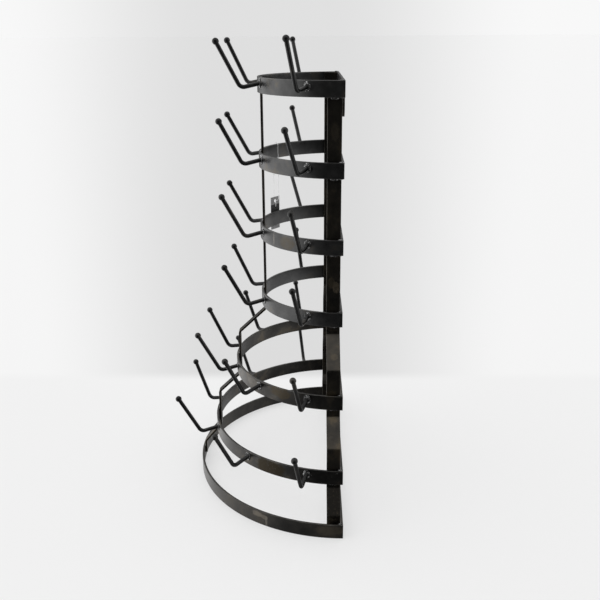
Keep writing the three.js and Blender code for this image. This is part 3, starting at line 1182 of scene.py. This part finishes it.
@dataclass
class TagToggle:
    """The small nylon toggle at the end of the tag's fastener, hanging at the card's inner side."""

    card_low: Vector
    card_high: Vector
    back: float
    hole_drop: float = 6 * MM
    length: float = 8 * MM
    thickness: float = 1.3 * MM
    clear: float = 0.15 * MM
    half_card: float = 0.3 * MM
    below_hole: float = 1 * MM

    def build(self, shop: Workshop, finish: bpy.types.Material) -> bpy.types.Object:
        """Make the toggle and fasten it to the tag."""
        middle = (self.card_low + self.card_high) / 2
        inward = Vector((-middle.x, self.back - middle.y, 0)).normalized()
        axis = middle + inward * (self.half_card + self.clear + self.thickness / 2)
        top = self.card_high.z - self.hole_drop - self.below_hole
        rings = 10
        points, radii = [], []
        for i in range(rings + 1):
            share = i / rings
            points.append(Vector((axis.x, axis.y, top - self.length * share)))
            swell = 1 - abs(2 * share - 1) ** 6
            radii.append(self.thickness / 2 * max(math.sqrt(max(swell, 0.0)), 0.05))
        source = Shape.curve("tag_toggle_path", [Line(points, radii)])
        toggle = Shape.closed_and_outward(shop.rod.made("tag_toggle", source, Sides=16, Material=finish))
        return settle(toggle, TAG, Slot.NYLON.value)


# --- The studio ---


@dataclass(frozen=True)
class Studio:
    """A pale floor that glows and carries painted shade, an open pale surround and one soft light."""

    reach: float = 150.0
    floor: Colour = grey(0.94)
    far_middle_painted_shade: Colour = grey(0.76)
    far_sides: Colour = grey(0.97)
    shaded_share: float = 0.33
    glow: float = 0.575
    edge: float = -0.29
    sky_strength: float = 1.1
    sky_spread: float = 75.0

    def build_floor(self) -> None:
        """A wide pale floor at the stand's feet, which glows to soften the shadows on it, with painted shade
        in the middle of its far part.
        """
        mesh = bpy.data.meshes.new("floor")
        work = bmesh.new()
        bmesh.ops.create_grid(work, x_segments=2, y_segments=2, size=self.reach)
        work.to_mesh(mesh)
        work.free()
        floor = Shape.linked("floor", mesh)
        surface = Surface("pale floor")
        axes = surface.add("ShaderNodeSeparateXYZ", None, {0: surface.place})
        along, across = (Value(surface, axes.outputs[i]) for i in range(2))
        # Painted shade: beyond the edge the floor is darker in the middle and lighter to the sides.
        far = along.step(self.edge + 0.02, self.edge - 0.03)
        fan = abs((across + 0.04) / (1.06 - along).highest(0.5) + 0.05).step(0.07, 0.34)
        colour = surface.mixed(fan, self.far_middle_painted_shade, self.far_sides)
        colour = surface.mixed(far, self.floor, colour)
        # Painted light: much of the floor's brightness is its own glow, which softens the shadows on it.
        surface.feed(surface.shader.inputs["Base Color"], surface.mixed(self.shaded_share, grey(0.0), colour))
        surface.feed(surface.shader.inputs["Emission Color"], colour)
        surface.shader.inputs["Emission Strength"].default_value = self.glow
        surface.shader.inputs["Roughness"].default_value = 0.75
        surface.shader.inputs["Specular IOR Level"].default_value = 0.1
        mesh.materials.append(surface.material)
        floor.visible_glossy = False

    def build_world(self) -> None:
        """A surround that is dark on the right-hand side, and bright to the front, back and top; straight to
        the camera it is a pale backdrop with painted shade in the middle.
        """
        world = bpy.data.worlds.new("surround")
        world.use_nodes = True
        bpy.context.scene.world = world
        graph = Graph(world.node_tree)
        graph.tree.nodes.clear()
        toward = graph.add("ShaderNodeTexCoord").outputs["Generated"]
        axes = graph.add("ShaderNodeSeparateXYZ", None, {0: toward})
        x, y, z = (Value(graph, axes.outputs[i]) for i in range(3))
        side = 1.2 - y.step(-0.3, 0.5) * 0.55
        behind = x.step(-0.75, -0.93) * z.step(0.5, 0.15)
        under = z.step(-0.5, -0.8)
        above = z.step(0.45, 0.85)
        around = x.step(0.84, 0.22) * side * (1 - behind * 0.96) * (1 - under * 0.8) * (1 - above * 0.55)
        light = 0.012 + around + y.step(0.15, 0.6) * 0.1 + z.step(0.4, 0.95) * 0.42
        # Painted shade: the backdrop that the camera sees is darker in the middle and lighter to the sides.
        backdrop_with_painted_shade = 0.75 + abs(y + 0.05).step(0.07, 0.32) * 0.19
        camera_ray = graph.value("ShaderNodeLightPath", "Is Camera Ray")
        strength = light + camera_ray * (backdrop_with_painted_shade - light)
        shine = graph.add("ShaderNodeBackground", None, {"Color": grey(1.0), "Strength": strength})
        graph.add("ShaderNodeOutputWorld", None, {"Surface": shine.outputs[0]})

    def build_sky(self) -> None:
        """A broad, soft light from above, a little to the front and left, which gloss doesn't show."""
        data = bpy.data.lights.new("soft_sky", "SUN")
        data.energy = self.sky_strength
        data.angle = math.radians(self.sky_spread)
        lamp = Shape.linked("soft_sky", data)
        lamp.rotation_mode = "QUATERNION"
        lamp.rotation_quaternion = Vector((0.1, 0.2, -1.0)).to_track_quat("-Z", "Y")
        lamp.visible_glossy = False

    def build(self) -> None:
        """Make the whole studio."""
        bpy.context.scene.view_settings.view_transform = "Standard"
        self.build_floor()
        self.build_world()
        self.build_sky()


@dataclass(frozen=True)
class Viewpoint:
    """The camera's place and aim."""

    place: tuple[float, float, float] = (1.05634, -0.04028, 0.62458)
    yaw: float = 0.84
    pitch: float = 19.16
    roll: float = 0.36
    lens: float = 46.19

    def build(self) -> None:
        """Make the camera, looking along -X and down."""
        data = bpy.data.cameras.new("camera")
        data.lens = self.lens
        data.sensor_width = 36.0
        camera = Shape.linked("camera", data)
        yaw, pitch, roll = (math.radians(a) for a in (self.yaw, self.pitch, self.roll))
        ahead = -Vector((math.cos(pitch) * math.cos(yaw), math.cos(pitch) * math.sin(yaw), math.sin(pitch)))
        level = ahead.cross(UP).normalized()
        down = ahead.cross(level)
        right = level * math.cos(roll) + down * math.sin(roll)
        below = down * math.cos(roll) - level * math.sin(roll)
        turn = Matrix((right, -below, -ahead)).transposed()
        camera.matrix_world = Matrix.Translation(self.place) @ turn.to_4x4()
        bpy.context.scene.camera = camera


# --- Assembly ---


def refinish(node: str, material: bpy.types.Material) -> None:
    """Give a CAD mesh that stays as it is a finish of its own."""
    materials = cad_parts[node].data.materials
    materials.clear()
    materials.append(material)


@dataclass
class MugTree:
    """The whole stand, hoop by hoop."""

    upright_gap: float = 0.3 * MM
    strip_gap: float = 0.5 * MM
    narrow_hoops: int = 4
    band_rise: float = 4 * MM
    half_band: float = 9 * MM

    def build(self) -> None:
        """Make every sub-assembly in order."""
        shop = Workshop()
        places = [HoopPlace.read(number) for number in range(1, 8)]
        hoop_steel = BlackenedSteel("hoop steel", wear=0.25, patches=HOOP_PATCHES).material()
        lower_steel = BlackenedSteel(
            "lower hoop steel", dark=grey(0.036, 0.03), dusty=grey(0.074, 0.05), patches=LOWER_HOOP_PATCHES
        ).material()
        base_steel = BlackenedSteel(
            "base hoop steel", dark=grey(0.018, 0.06), dusty=grey(0.046, 0.1), tint=grey(0.06, 0.2),
            tint_share=0.3, wear=0.25, metallic=0.55, roughness=0.38, patches=BASE_PATCHES,
        ).material()
        upright_steel = BlackenedSteel(
            "upright steel", dark=grey(0.048, 0.06), dusty=grey(0.088, 0.14), tint=grey(0.12, 0.24),
            tint_share=0.6, wear=0.25, patches=UPRIGHT_MARKS_AND_PAINTED_SHADE,
        ).material()
        rod_steel = BlackenedSteel(
            "rod steel", dark=grey(0.032), dusty=grey(0.065), tint_share=0.15, wear=0.2
        ).material()
        for place in places:
            slot = Slot.BASE_HOOP if place.number == len(places) else Slot.HOOP
            steel = hoop_steel if place.number <= self.narrow_hoops else lower_steel
            Hoop(place, slot, base_steel if slot is Slot.BASE_HOOP else steel, rod_steel).build(shop)
        offset = UPRIGHT_FRONT - UPRIGHT_WIDTH / 2
        for side, name in ((1, "upright_right"), (-1, "upright_left")):
            SplayedStrip(
                name, places, UPRIGHT_WIDTH, Vector((side, 0, 0)), Vector((0, -1, 0)),
                offset, UPRIGHT_FRONT, self.upright_gap,
            ).build(shop, upright_steel)
        SplayedStrip(
            "front_strip", places, STRIP_WIDTH, Vector((0, -1, 0)), Vector((1, 0, 0)),
            0.0, 0.0, self.strip_gap, end=STRIP_END,
        ).build(shop, upright_steel)
        for side in ("right", "left"):
            HangerTab(f"hanger_tab_{side}").build(shop, upright_steel)
        card_low, card_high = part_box("hang_tag")
        band_middle = (card_low.z + card_high.z) / 2 + self.band_rise
        refinish("hang_tag", TagCard("tag card", band_middle, self.half_band).material())
        nylon = Nylon().material()
        refinish("tag_loop", nylon)
        TagToggle(card_low, card_high, places[0].back).build(shop, nylon)


def main() -> None:
    """Build the studio, the camera and the stand."""
    logging.basicConfig(level=logging.INFO, format="%(message)s")
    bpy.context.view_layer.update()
    Viewpoint().build()
    Studio().build()
    MugTree().build()


if __name__ == "__main__":
    main()
